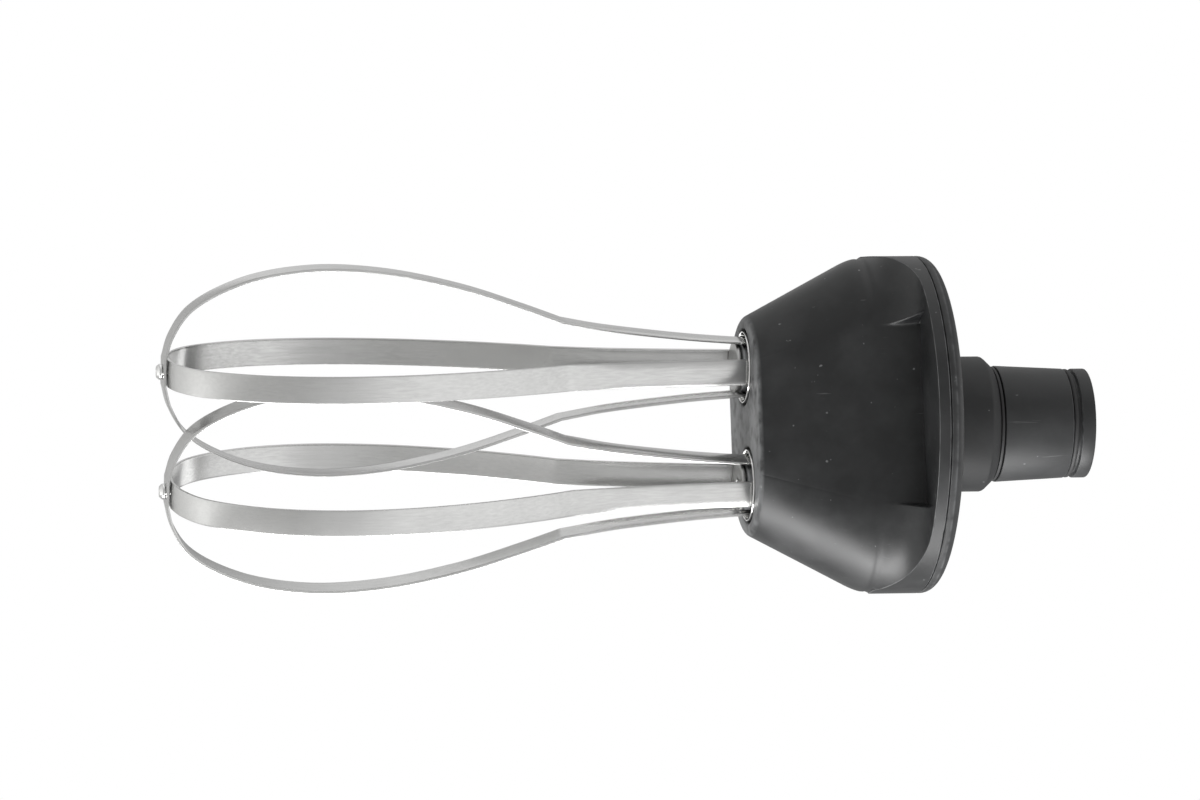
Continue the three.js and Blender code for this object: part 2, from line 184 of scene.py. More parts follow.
def mend(piece):
    """Merges doubles, closes open ends and turns the faces outwards."""
    choose(piece)
    bpy.ops.object.mode_set(mode="EDIT")
    bpy.ops.mesh.select_all(action="SELECT")
    bpy.ops.mesh.remove_doubles(threshold=2e-6)
    bpy.ops.mesh.fill_holes(sides=0)
    bpy.ops.mesh.select_all(action="SELECT")
    bpy.ops.mesh.normals_make_consistent(inside=False)
    bpy.ops.object.mode_set(mode="OBJECT")


def apply_modifier(piece, kind, **settings):
    choose(piece)
    modifier = piece.modifiers.new(kind.title(), kind)
    for name, value in settings.items():
        setattr(modifier, name, value)
    bpy.ops.object.modifier_apply(modifier=modifier.name)


def bevel(piece, width, segments=3, angle=30):
    apply_modifier(
        piece,
        "BEVEL",
        width=width * MM,
        segments=segments,
        limit_method="ANGLE",
        angle_limit=math.radians(angle),
        use_clamp_overlap=True,
    )


def cut(piece, cutter):
    apply_modifier(piece, "BOOLEAN", operation="DIFFERENCE", object=cutter, solver="EXACT")
    bpy.data.objects.remove(cutter)


def finish_piece(piece, name, node, body, slot, smooth=30):
    """Shades a piece, gives it its slot's material and puts it in a CAD part's place."""
    choose(piece)
    bpy.ops.object.shade_smooth_by_angle(angle=math.radians(smooth))
    piece.name = name
    piece.data.name = name
    piece.data.materials.clear()
    piece.data.materials.append(MATERIALS[slot])
    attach(piece, body)
    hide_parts(node)
    unselect()


def turned(name, profile, x=0.0, y=0.0, segments=96):
    """A piece turned about Z: a ring is drawn out and resized along a profile's corners."""
    unselect()
    radius, height = profile[0]
    bpy.ops.mesh.primitive_circle_add(
        vertices=segments, radius=radius * MM, location=(x * MM, y * MM, height * MM)
    )
    piece = bpy.context.object
    piece.name = name
    bpy.ops.object.transform_apply(location=True, rotation=False, scale=False)
    bpy.ops.object.mode_set(mode="EDIT")
    bpy.ops.mesh.select_all(action="SELECT")
    for next_radius, next_height in profile[1:]:
        rise = (next_height - height) * MM
        bpy.ops.mesh.extrude_region_move(TRANSFORM_OT_translate={"value": (0, 0, rise)})
        ratio = next_radius / radius
        bpy.ops.transform.resize(
            value=(ratio, ratio, 1), center_override=(x * MM, y * MM, next_height * MM)
        )
        radius, height = next_radius, next_height
    mend(piece)
    return piece


def ring(name, outer, inner, low, high, x=0.0, y=0.0, segments=96):
    corners = [(inner, low), (outer, low), (outer, high), (inner, high), (inner, low)]
    return turned(name, corners, x, y, segments)


def sheet_of(name, columns, rows, place):
    """A grid whose corners are put where place(column, row) says, in millimetres."""
    unselect()
    bpy.ops.mesh.primitive_grid_add(x_subdivisions=columns, y_subdivisions=rows, size=1)
    piece = bpy.context.object
    piece.name = name
    for corner in piece.data.vertices:
        column = round((corner.co.x + 0.5) * columns)
        row = round((corner.co.y + 0.5) * rows)
        corner.co = Vector(place(column, row)) * MM
    return piece


# Materials


def colour(hex_text):
    """sRGB hex to linear RGBA."""
    channels = [int(hex_text[i : i + 2], 16) / 255 for i in (0, 2, 4)]
    linear = [c / 12.92 if c <= 0.04045 else ((c + 0.055) / 1.055) ** 2.4 for c in channels]
    return (*linear, 1.0)


def add_node(tree, kind, settings=None, links=None):
    """Adds a node, sets its own settings or socket values, and links sockets into it."""
    made = tree.nodes.new(kind)
    for key, value in (settings or {}).items():
        if isinstance(key, str) and hasattr(made, key):
            setattr(made, key, value)
        else:
            made.inputs[key].default_value = value
    for key, source in (links or {}).items():
        tree.links.new(source, made.inputs[key])
    return made


ADD_UP = {"operation": "ADD", "use_clamp": True}  # shares of wear, marks and painted light, never more than 1


def start_material(name):
    material = bpy.data.materials.new(name)
    material.use_nodes = True
    material.node_tree.nodes.clear()
    return material, material.node_tree


def end_material(tree, settings, links):
    shader = add_node(tree, "ShaderNodeBsdfPrincipled", settings, links)
    add_node(tree, "ShaderNodeOutputMaterial", None, {"Surface": shader.outputs[0]})


def moulded_plastic(name, base, worn_and_lit_colour, wear_and_light_bands=(), roughness=0.46):
    """Black glass-filled nylon, injection moulded in a fine spark-eroded tool and rubbed by use.

    A satin surface with a fine grain, faint greyer clouds from washing, short fine scratches,
    dust specks, and paler bands: rubbed wear where the part is knocked against things, and on
    the casing also a painted highlight along the rim's edge and painted light over the end face.
    The grain is drawn at about 0.4 mm, coarser than the real one, so that it shows.

    Each band of wear and painted light says what it is measured by, its middle and reach in mm, and
    its strength.
    """
    material, tree = start_material(name)
    where = add_node(tree, "ShaderNodeTexCoord")
    place = where.outputs["Object"]
    clouds = add_node(
        tree,
        "ShaderNodeTexNoise",
        {"Scale": 45.0, "Detail": 5.0, "Roughness": 0.6},
        {"Vector": place},
    )
    grain = add_node(
        tree,
        "ShaderNodeTexNoise",
        {"Scale": 2600.0, "Detail": 2.0, "Roughness": 0.6},
        {"Vector": place},
    )
    strokes = {"Rotation": (0.3, 0.5, 0.2), "Scale": (900.0, 900.0, 45.0)}
    stretched = add_node(tree, "ShaderNodeMapping", strokes, {"Vector": place})
    scratches = add_node(
        tree, "ShaderNodeTexNoise", {"Scale": 1.0, "Detail": 3.0}, {"Vector": stretched.outputs[0]}
    )
    limits = {"From Min": 0.71, "From Max": 0.8, "To Min": 0.0, "To Max": 0.35}
    scratch_lines = add_node(tree, "ShaderNodeMapRange", limits, {"Value": scratches.outputs[0]})
    limits = {"From Min": 0.42, "From Max": 0.72, "To Min": 0.0, "To Max": 0.11}
    cloud_share = add_node(tree, "ShaderNodeMapRange", limits, {"Value": clouds.outputs[0]})
    dust = add_node(tree, "ShaderNodeTexNoise", {"Scale": 520.0, "Detail": 1.0}, {"Vector": place})
    limits = {"From Min": 0.77, "From Max": 0.82, "To Min": 0.0, "To Max": 0.8}
    specks = add_node(tree, "ShaderNodeMapRange", limits, {"Value": dust.outputs[0]})
    marks = {0: scratch_lines.outputs[0], 1: specks.outputs[0]}
    marked = add_node(tree, "ShaderNodeMath", {"operation": "ADD"}, marks)
    parts = {0: cloud_share.outputs[0], 1: marked.outputs[0]}
    share = add_node(tree, "ShaderNodeMath", ADD_UP, parts).outputs[0]
    axes = add_node(tree, "ShaderNodeSeparateXYZ", None, {"Vector": place})
    level = {"X": axes.outputs["X"], "Y": axes.outputs["Y"]}
    flat = add_node(tree, "ShaderNodeCombineXYZ", None, level)
    length = add_node(tree, "ShaderNodeVectorMath", {"operation": "LENGTH"}, {0: flat.outputs[0]})
    measures = {"radius": length.outputs["Value"], "height": axes.outputs["Z"]}
    patches = add_node(
        tree, "ShaderNodeTexNoise", {"Scale": 260.0, "Detail": 4.0}, {"Vector": place}
    )
    # Paler bands: rubbed wear, and on the casing also a painted highlight on the rim's edge and
    # painted light over the end face.
    for source, middle, reach, strength in wear_and_light_bands:
        shift = {"operation": "SUBTRACT", 1: middle * MM}
        away = add_node(tree, "ShaderNodeMath", shift, {0: measures[source]})
        off = add_node(tree, "ShaderNodeMath", {"operation": "ABSOLUTE"}, {0: away.outputs[0]})
        near = add_node(
            tree,
            "ShaderNodeMapRange",
            {"From Min": 0.0, "From Max": reach * MM, "To Min": strength, "To Max": 0.0},
            {"Value": off.outputs[0]},
        )
        limits = {"From Min": 0.28, "From Max": 0.56}
        broken = add_node(tree, "ShaderNodeMapRange", limits, {"Value": patches.outputs[0]})
        both = {0: near.outputs[0], 1: broken.outputs[0]}
        rubbed_and_lit = add_node(tree, "ShaderNodeMath", {"operation": "MULTIPLY"}, both)
        parts = {0: share, 1: rubbed_and_lit.outputs[0]}
        share = add_node(tree, "ShaderNodeMath", ADD_UP, parts).outputs[0]
    tint = add_node(
        tree,
        "ShaderNodeMix",
        {"data_type": "RGBA", 6: colour(base), 7: colour(worn_and_lit_colour)},
        {0: share},
    )
    rough = add_node(
        tree,
        "ShaderNodeMapRange",
        {"From Min": 0.3, "From Max": 0.7, "To Min": roughness - 0.06, "To Max": roughness + 0.08},
        {"Value": clouds.outputs[0]},
    )
    bump = add_node(
        tree,
        "ShaderNodeBump",
        {"Strength": 0.25, "Distance": 0.00006},
        {"Height": grain.outputs[0]},
    )
    end_material(
        tree,
        {"IOR": 1.53, "Specular IOR Level": 0.42, "Metallic": 0.0},
        {"Base Color": tint.outputs[2], "Roughness": rough.outputs[0], "Normal": bump.outputs[0]},
    )
    return material


def metal(name, base, dark, roughness, lines, marks, relief=0.02):
    """A bare metal whose colour and gloss vary along tool marks, with water marks and grime.

    lines is the fineness of the tool marks along X, Y and Z in strokes per millimetre, marks is
    how strongly they and the stains darken the metal, and relief is their depth in millimetres.
    """
    material, tree = start_material(name)
    place = add_node(tree, "ShaderNodeTexCoord").outputs["Object"]
    strokes = add_node(
        tree,
        "ShaderNodeMapping",
        {"Scale": tuple(line / MM for line in lines)},
        {"Vector": place},
    )
    brushing = add_node(
        tree, "ShaderNodeTexNoise", {"Scale": 1.0, "Detail": 3.0}, {"Vector": strokes.outputs[0]}
    )
    stains = add_node(
        tree,
        "ShaderNodeTexNoise",
        {"Scale": 70.0, "Detail": 6.0, "Roughness": 0.62},
        {"Vector": place},
    )
    limits = {"From Min": 0.42, "From Max": 0.8, "To Min": 0.0, "To Max": marks}
    stain_share = add_node(tree, "ShaderNodeMapRange", limits, {"Value": stains.outputs[0]})
    limits = {"From Min": 0.3, "From Max": 0.7, "To Min": 0.0, "To Max": marks}
    line_share = add_node(tree, "ShaderNodeMapRange", limits, {"Value": brushing.outputs[0]})
    parts = {0: stain_share.outputs[0], 1: line_share.outputs[0]}
    share = add_node(tree, "ShaderNodeMath", ADD_UP, parts)
    tint = add_node(
        tree,
        "ShaderNodeMix",
        {"data_type": "RGBA", 6: colour(base), 7: colour(dark)},
        {0: share.outputs[0]},
    )
    rough = add_node(
        tree,
        "ShaderNodeMapRange",
        {"From Min": 0.3, "From Max": 0.7, "To Min": roughness * 0.9, "To Max": roughness * 1.12},
        {"Value": brushing.outputs[0]},
    )
    bump = add_node(
        tree,
        "ShaderNodeBump",
        {"Strength": 0.2, "Distance": relief * MM},
        {"Height": brushing.outputs[0]},
    )
    end_material(
        tree,
        {"Metallic": 1.0},
        {"Base Color": tint.outputs[2], "Roughness": rough.outputs[0], "Normal": bump.outputs[0]},
    )
    return material


def soft(name, base, pale, roughness, ior):
    """A moulded rubber, nylon or similar: matt, with dust and grease that make it patchy."""
    material, tree = start_material(name)
    place = add_node(tree, "ShaderNodeTexCoord").outputs["Object"]
    dust = add_node(
        tree, "ShaderNodeTexNoise", {"Scale": 320.0, "Detail": 5.0}, {"Vector": place}
    )
    tint = add_node(
        tree,
        "ShaderNodeMix",
        {"data_type": "RGBA", 6: colour(base), 7: colour(pale)},
        {0: dust.outputs[0]},
    )
    rough = add_node(
        tree,
        "ShaderNodeMapRange",
        {"To Min": roughness - 0.1, "To Max": roughness + 0.1},
        {"Value": dust.outputs[0]},
    )
    bump = add_node(
        tree, "ShaderNodeBump", {"Strength": 0.3, "Distance": 0.00005}, {"Height": dust.outputs[0]}
    )
    end_material(
        tree,
        {"IOR": ior},
        {"Base Color": tint.outputs[2], "Roughness": rough.outputs[0], "Normal": bump.outputs[0]},
    )
    return material


def make_materials():
    """All finishes, by material slot."""
    shades = bpy.context.scene.whisk_colours
    rim_wear_and_light = [
        # A thin pale line on the rim's edge: rubbed wear and a painted highlight.
        ("radius", RIM_RADIUS - 0.12, 0.1, 0.9),
        ("height", PARTING - 0.15, 0.3, 0.7),
        # Over the end face and its rounded edge: rubbed wear and painted light, paler where the end
        # face is lit.
        ("height", END_FACE, 1.3, 0.75),
    ]
    return {
        "casing_plastic": moulded_plastic(
            "black_nylon_casing", shades.plastic, shades.worn_and_lit_plastic, rim_wear_and_light
        ),
        "cover_plastic": moulded_plastic(
            "black_nylon_cover",
            shades.plastic,
            shades.worn_and_lit_plastic,
            [("radius", RIM_RADIUS - 0.17, 0.16, 0.35), ("radius", RIM_RADIUS - 0.4, 1.5, 0.06)],
            roughness=0.55,
        ),
        "sleeve_plastic": moulded_plastic(
            "black_nylon_sleeve",
            "1C1D1E",
            shades.worn_and_lit_plastic,
            [("height", GROOVE_LOW, 0.4, 0.6), ("height", GROOVE_HIGH, 0.3, 0.4)],
            roughness=0.5,
        ),
        # Cold-rolled stainless strip, linished along its length: long soft streaks, satin gloss.
        "strip_steel": metal(
            "linished_stainless_strip", shades.strip, "9A9A99", 0.24, (1.6, 1.6, 0.03), 0.2, 0.004
        ),
        # Turned and polished stainless: a bright mirror ring with only faint turning marks.
        "polished_steel": metal("polished_stainless", "E4E4E3", "B4B4B3", 0.12, (1, 1, 6), 0.15),
        # Cold-headed stainless fixings: satin with tumbling marks.
        "fixing_steel": metal("tumbled_stainless_fixings", "BDBDBC", "858584", 0.3, (3, 3, 3), 0.3),
        # Hobbed and ground case-hardened steel, oiled: darker, with fine cutting lines.
        "gear_steel": metal("oiled_machined_steel", "9A9A9B", "5F5F60", 0.32, (1, 1, 8), 0.4),
        # Sintered bronze, full of oil: brown-gold, granular and dull.
        "bronze": metal("sintered_bronze", "B08A56", "6E5230", 0.5, (6, 6, 6), 0.5),
        # Die-cast aluminium: pale grey with a matt frosted skin.
        "aluminium": metal("cast_aluminium", "B9BABC", "8B8C8E", 0.42, (2, 2, 2), 0.35),
        # Natural moulded nylon with grease on it.
        "gear_nylon": soft("natural_nylon", "E4DFD0", "CFC6AE", 0.4, 1.53),
        # Nitrile rubber: near black and matt, greyed by dust.
        "rubber": soft("nitrile_rubber", "141415", "262627", 0.62, 1.52),
    }


# Casing


def oblong_ray(half, depth, centre, angle):
    """Distance from (centre, 0) to the oblong's round end at an angle from X."""
    offset = centre - (half - depth)
    along = offset * math.cos(angle)
    return -along + math.sqrt(max(depth**2 - (offset * math.sin(angle)) ** 2, 0))


def smooth(value):
    value = min(max(value, 0.0), 1.0)
    return value * value * (3 - 2 * value)


def soft_lower(first, second, blend):
    """The lower of two values, with a round change-over of the given reach."""
    gap = max(blend - abs(first - second), 0) / blend
    return min(first, second) - gap * gap * blend / 4


END_STEPS = 40  # points on a quarter turn of an end
MIDDLE_STEPS = 64  # points along a flat side
SHOULDER_BLEND = 2.4
CREASE_DEPTH, CREASE_REACH = 0.4, 0.9
CHEEK_CLIMB = 12.0  # height over which the cheeks' inner walls and corners open out
EDGE = 1.3  # rounding of the casing's lower edge


def body_sizes(height):
    """Half length and half depth of the casing's oblong body at a height."""
    sizes = bpy.context.scene.whisk_casing
    rise = (height - END_FACE) / (sizes.shoulder - END_FACE)
    tapered = sizes.end_half + (RIM_RADIUS - sizes.end_half) * rise
    half = soft_lower(tapered, RIM_RADIUS, SHOULDER_BLEND)
    share = (height - END_FACE) / (PARTING - sizes.flange_thickness - END_FACE)
    return half, sizes.end_depth + (sizes.flange_depth - sizes.end_depth) * share


def flare_at(height):
    """How far the hollow curve of the cheeks stands out from the body at a height."""
    sizes = bpy.context.scene.whisk_casing
    fillet = PARTING - sizes.flange_thickness - sizes.cheek_start
    rise = min(max(height - sizes.cheek_start, 0.0), fillet)
    return fillet - math.sqrt(fillet**2 - rise**2)


def crease_at(height):
    """Depth of the shallow line where the cheeks start from the tapered body."""
    away = (height - bpy.context.scene.whisk_casing.cheek_start + 0.8) / CREASE_REACH
    return CREASE_DEPTH * math.exp(-away * away)


def rim_ray(radius, centre, angle):
    """Distance from (centre, 0) to a circle round the drive axis at an angle from X."""
    return math.sqrt(radius**2 - (centre * math.sin(angle)) ** 2) - centre * math.cos(angle)


def columns():
    """A quarter's outline points, each an angle round an end or a share of the way to the wall."""
    round_end = [("angle", step / END_STEPS * math.pi / 2) for step in range(END_STEPS)]
    count = MIDDLE_STEPS // 2
    flat = [("share", math.cos(step / count * math.pi / 2) ** 0.8) for step in range(count + 1)]
    return round_end + flat


def centre_at(height):
    """Where the cheeks' inner walls stand: they lean outwards towards the flange."""
    sizes = bpy.context.scene.whisk_casing
    half = body_sizes(height)[0]
    climb = min(max((height - sizes.cheek_start) / CHEEK_CLIMB, 0.0), 1.1)
    return sizes.cheek_inner * half / RIM_RADIUS * (1 + 0.085 * climb**2)


def casing_point(kind, value, height, limit):
    """A quarter's outline point on body and cheek, kept within a radius of limit."""
    half, depth = body_sizes(height)
    flare = flare_at(height)
    centre = centre_at(height)
    if kind == "angle":
        flare -= crease_at(height) * smooth(1.6 - value)
        reach = oblong_ray(half + flare, depth + flare, centre, value)
        reach = min(reach, rim_ray(limit, centre, value))
        return centre + reach * math.cos(value), reach * math.sin(value)
    x = centre * value
    over = max(x - (half - depth), 0)
    y = math.sqrt(depth**2 - over**2)
    cheek = min(oblong_ray(half + flare, depth + flare, centre, math.pi / 2), limit)
    return x, y + (cheek - y) * wall_share(value, height)


def wall_share(value, height):
    """1 on a cheek's inner edge and 0 on the flat side, with a corner that rounds out upwards."""
    sizes = bpy.context.scene.whisk_casing
    climb = min(max((height - sizes.cheek_start) / CHEEK_CLIMB, 0.0), 1.0)
    reach = 0.03 + 0.08 * climb**1.5
    return smooth((value - 1 + reach) / reach) ** (1 + climb)


def fillet_end(kind, value, limit):
    """Height where a column leaves the hollow curve, at the rim's edge or under the flange."""
    sizes = bpy.context.scene.whisk_casing
    low, high = sizes.cheek_start, PARTING - sizes.flange_thickness
    if kind == "share":
        lift = 1.1  # how much further up it ends on the flat sides
        return high + lift * (1 - wall_share(value, high))
    for _ in range(24):  # enough halvings to find the height to a micrometre
        middle = (low + high) / 2
        centre = centre_at(middle)
        half, depth = body_sizes(middle)
        flare = flare_at(middle)
        if oblong_ray(half + flare, depth + flare, centre, value) < rim_ray(limit, centre, value):
            low = middle
        else:
            high = middle
    return high


def on_circle(kind, value, height, radius):
    """A quarter's outline point on a circle round the drive axis."""
    centre = centre_at(height)
    if kind == "angle":
        reach = rim_ray(radius, centre, value)
        return centre + reach * math.cos(value), reach * math.sin(value)
    x = centre * value
    return x, math.sqrt(radius**2 - x**2)


def all_round(quarter):
    """Mirrors a quarter's points into the whole outline."""
    upper = quarter + [(-x, y, z) for x, y, z in reversed(quarter[:-1])]
    return upper + [(-x, -y, z) for x, y, z in upper[1:-1]]


def scaled_in(points, inset):
    """Points moved towards the drive axis."""
    made = []
    for x, y, z in points:
        keep = 1 - inset / math.hypot(x, y)
        made.append((x * keep, y * keep, z))
    return made


def loft(name, rings):
    """A closed skin through rings that all have as many points."""
    count = len(rings[0])
    piece = sheet_of(name, count, len(rings) - 1, lambda column, row: rings[row][column % count])
    mend(piece)
    return piece


def casing_outer():
    sizes = bpy.context.scene.whisk_casing
    rim_edge = 0.25  # small step where the flared ends run into the rim
    chamfer_width, chamfer_drop = 0.3, 0.35
    limit = RIM_RADIUS - rim_edge
    marks = columns()

    def body_ring(height):
        points = [casing_point(kind, value, height, limit) for kind, value in marks]
        return all_round([(x, y, height) for x, y in points])

    rings = []
    edge_steps, body_steps, flare_steps = 5, 44, 26
    for step in range(edge_steps + 1):
        turn = step / edge_steps * math.pi / 2
        ring_points = body_ring(END_FACE + EDGE * (1 - math.cos(turn)))
        rings.append(scaled_in(ring_points, EDGE * (1 - math.sin(turn))))
    for step in range(1, body_steps + 1):
        height = END_FACE + EDGE + (sizes.cheek_start - END_FACE - EDGE) * step / body_steps
        rings.append(body_ring(height))
    tops = [fillet_end(kind, value, limit) for kind, value in marks]
    for step in range(1, flare_steps + 1):
        climb = math.sin(step / flare_steps * math.pi / 2)
        quarter = []
        for (kind, value), top in zip(marks, tops):
            height = sizes.cheek_start + (top - sizes.cheek_start) * climb
            quarter.append((*casing_point(kind, value, height, limit), height))
        rings.append(all_round(quarter))
    feet = [min(top, PARTING - sizes.flange_thickness) for top in tops]
    for radius, heights in (
        (limit, feet),
        (RIM_RADIUS, [foot + rim_edge for foot in feet]),
        (RIM_RADIUS, [PARTING - chamfer_drop] * len(feet)),
        (RIM_RADIUS - chamfer_width, [PARTING] * len(feet)),
    ):
        quarter = []
        for (kind, value), foot, height in zip(marks, feet, heights):
            quarter.append((*on_circle(kind, value, foot, radius), height))
        rings.append(all_round(quarter))
    return loft("gear_casing", rings)


def oblong_hollow(levels):
    """A cutter with round ends, through levels of height, half length and half depth."""
    rings = []
    steps = 16
    for height, half, depth in levels:
        quarter = []
        for step in range(steps + 1):
            angle = step / steps * math.pi / 2
            quarter.append((half - depth + depth * math.cos(angle), depth * math.sin(angle)))
        upper = quarter + [(-x, y) for x, y in reversed(quarter)]
        rings.append([(x, y, height) for x, y in upper + [(-x, -y) for x, y in upper]])
    return loft("hollow", rings)


class WHISKTOOL_OT_casing(bpy.types.Operator):
    """Moulded gear casing: tapered oblong body, flared cheeks, round flange, bores and cavity"""

    bl_idname = "whisktool.casing"
    bl_label = "Gear casing"

    def execute(self, context):
        sizes = context.scene.whisk_casing
        piece = casing_outer()
        hollow_top = -20.0  # above the parting, so that the cut comes out open
        levels = [
            (CAVITY_FLOOR, CAVITY_HALF, CAVITY_DEPTH),
            (LEDGE, CAVITY_HALF, CAVITY_DEPTH),
            (LEDGE + 0.1, PLATE_HALF, PLATE_DEPTH),
            (hollow_top, PLATE_HALF, PLATE_DEPTH + 0.4),
        ]
        cut(piece, oblong_hollow(levels))
        lip = 1.5  # thickness of the end face round the holes
        corners = [
            (sizes.end_hole + 0.9, END_FACE - 1),
            (sizes.end_hole + 0.9, END_FACE - 0.01),
            (sizes.end_hole + 0.35, END_FACE + 0.15),
            (sizes.end_hole, END_FACE + 0.7),
            (sizes.end_hole, END_FACE + lip),
            (SPINDLE_BORE, END_FACE + lip),
            (SPINDLE_BORE, CAVITY_FLOOR + 1),
        ]
        for x in AXIS_X.values():
            cut(piece, turned("bore", corners, x))
        finish_piece(piece, "gear_casing_shell", "gear_casing", "housing", "casing_plastic", 38)
        return {"FINISHED"}


class WHISKTOOL_OT_cover(bpy.types.Operator):
    """Cover with its rounded rim and boss, and the four screws that hold it"""

    bl_idname = "whisktool.cover"
    bl_label = "Casing cover"

    def execute(self, context):
        low, boss_top = COVER_LOW.z, COVER_HIGH.z
        top = boss_top - 19.5
        boss, fillet, chamfer = 21.4, 4, 0.35
        rim_in, rim_down = 3.6, 3.7  # reach of the rim's rounding
        seal_pocket, shaft_hole = 11.4, 5.6
        foot_seat, seal_seat, bearing_seat = -8.2, -9.6, -11.6
        rim = [
            (
                RIM_RADIUS - rim_in + rim_in * math.sin(turn),
                top - rim_down + rim_down * math.cos(turn),
            )
            for turn in (math.radians(90 - 10 * step) for step in range(10))
        ]
        root = [
            (boss + fillet - fillet * math.sin(turn), top + fillet - fillet * math.cos(turn))
            for turn in (math.radians(15 * step) for step in range(7))
        ]
        profile = [
            (SHAFT_HOLLOW, low),
            (RIM_RADIUS - chamfer, low),
            (RIM_RADIUS, low + chamfer),
            *rim,
            *root,
            (boss, -3.5),
            (boss - 0.15, -3.0),
            (boss - 0.5, -2.5),
            (boss - 2.3, -0.6),
            (boss - 2.7, -0.2),
            (boss - 3.1, 0.0),
            (SLEEVE_SEAT, 0.0),
            (SLEEVE_SEAT, foot_seat),
            (seal_pocket, foot_seat),
            (seal_pocket, seal_seat),
            (shaft_hole, seal_seat),
            (shaft_hole, bearing_seat),
            (SHAFT_HOLLOW, bearing_seat),
            (SHAFT_HOLLOW, low),
        ]
        piece = turned("cover", profile, segments=192)
        for x, y, seat in self.screws():
            recess = [(SCREW_RECESS, seat), (SCREW_RECESS, top + 1)]
            cut(piece, turned("recess", recess, x, y, 40))
        finish_piece(piece, "casing_cover_shell", "casing_cover", "housing", "cover_plastic", 32)
        return {"FINISHED"}

    def screws(self):
        """Makes the screws and gives back where their recesses are and how deep."""
        seats = []
        thread, head_radius, socket_depth = 1.45, 3.1, 2
        for index in range(1, 5):
            node = f"cover_screw_{index}"
            low, high = box_of(node)
            x, y = (low.x + high.x) / 2, (low.y + high.y) / 2
            head = high.z - 2.1
            shank = [
                (thread - 0.15, low.z),
                (thread, low.z + 0.4),
                (thread, head + 0.05),
                (head_radius, head + 0.05),
            ]
            dome = [
                (head_radius * math.cos(turn), head + 0.9 + 1.2 * math.sin(turn))
                for turn in (math.radians(12 * step) for step in range(7))
            ]
            piece = turned(node, shank + dome, x, y, 48)
            unselect()
            bpy.ops.mesh.primitive_cylinder_add(
                vertices=6,
                radius=thread * MM,
                depth=socket_depth * MM,
                location=(x * MM, y * MM, (head + 2) * MM),
            )
            socket = bpy.context.object
            bpy.ops.object.transform_apply(location=True, rotation=False, scale=False)
            cut(piece, socket)
            bevel(piece, 0.12, 2, 40)
            finish_piece(piece, f"{node}_head", node, "housing", "fixing_steel")
            seats.append((x, y, head - 0.3))
        return seats


class WHISKTOOL_OT_sleeve(bpy.types.Operator):
    """Coupling sleeve with its seal groove, the ring in the groove and the ring at the boss"""

    bl_idname = "whisktool.sleeve"
    bl_label = "Coupling sleeve"

    def execute(self, context):
        root, top, floor, foot = SLEEVE_HIGH.x, SLEEVE_HIGH.x - 1.1, 15.7, 16.0
        shoulder = 1.6
        profile = [
            (SLEEVE_INNER, SLEEVE_LOW.z),
            (foot, SLEEVE_LOW.z),
            (foot, shoulder),
            (root, shoulder),
            (top, GROOVE_LOW),
            (floor, GROOVE_LOW),
            (floor, GROOVE_HIGH),
            (top, GROOVE_HIGH),
            (top, SLEEVE_HIGH.z),
            (SLEEVE_INNER, SLEEVE_HIGH.z),
            (SLEEVE_INNER, SLEEVE_LOW.z),
        ]
        piece = turned("sleeve", profile, segments=160)
        bevel(piece, 0.35, 3, 35)
        finish_piece(piece, "coupling_sleeve_shell", "coupling_sleeve", "housing", "sleeve_plastic")
        low, high = box_of("boss_seal_ring")
        piece = ring("seal", high.x, SLEEVE_SEAT, low.z, high.z, segments=160)
        bevel(piece, 0.25, 3)
        finish_piece(piece, "boss_seal_ring_round", "boss_seal_ring", "housing", "rubber")
        # The ring in the groove is squeezed a little flatter than round.
        section = [
            (floor + 0.8 + 0.72 * math.cos(turn), GROOVE_LOW + 0.95 + 0.8 * math.sin(turn))
            for turn in (math.radians(22.5 * step) for step in range(17))
        ]
        piece = turned("o_ring", section, segments=160)
        finish_piece(piece, "sleeve_o_ring_round", "sleeve_o_ring", "housing", "rubber", 60)
        return {"FINISHED"}


class WHISKTOOL_OT_spindles(bpy.types.Operator):
    """The two spindle cups with their polished rims, and the lip seals round them"""

    bl_idname = "whisktool.spindles"
    bl_label = "Spindle cups"

    def execute(self, context):
        socket, socket_end, cup, rim, wall = 4.8, -62.4, 10.8, 11.35, 11.6
        thrust, shaft, journal, groove = 13.5, 8, 6, 5.2
        for letter, x in AXIS_X.items():
            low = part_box(f"spindle_{letter}")[0].z / MM
            inside = [(0.5, socket_end), (socket, socket_end), (socket, CUP_FLOOR)]
            rolled_rim = [
                (cup, CUP_FLOOR),
                (cup, low + 0.45),
                (cup + 0.12, low + 0.1),
                (11.1, low),
                (rim - 0.07, low + 0.12),
                (rim, low + 0.5),
                (rim, low + 3.4),
                (wall, low + 3.8),
            ]
            thrust_ring = [
                (wall, CAVITY_FLOOR - 0.9),
                (thrust, CAVITY_FLOOR - 0.9),
                (thrust, CAVITY_FLOOR + 0.7),
                (shaft, CAVITY_FLOOR + 0.7),
            ]
            upper_end = [
                (shaft, LEDGE - 1.2),
                (journal, LEDGE - 1.2),
                (journal, LEDGE + 6.6),
                (groove, LEDGE + 6.6),
                (groove, LEDGE + 7.8),
                (journal, LEDGE + 7.8),
                (journal, LEDGE + 9),
                (0.5, LEDGE + 9),
            ]
            profile = inside + rolled_rim + thrust_ring + upper_end
            piece = turned("cup", profile, x, segments=128)
            node = f"spindle_{letter}"
            finish_piece(piece, f"{node}_cup", node, node, "polished_steel", 32)
            outer = SPINDLE_BORE - 0.3
            profile = [
                (outer, SEAL_TOP),
                (outer, END_FACE + 1.8),
                (12.9, END_FACE + 1.8),
                (12.3, END_FACE + 2.6),
                (11.75, END_FACE + 3.6),
                (12.0, END_FACE + 4.4),
                (12.0, SEAL_TOP),
                (outer, SEAL_TOP),
            ]
            piece = turned("lip", profile, x, segments=128)
            node = f"spindle_seal_{letter}"
            finish_piece(piece, f"{node}_lip", node, "housing", "rubber", 32)
        return {"FINISHED"}


# Whisks


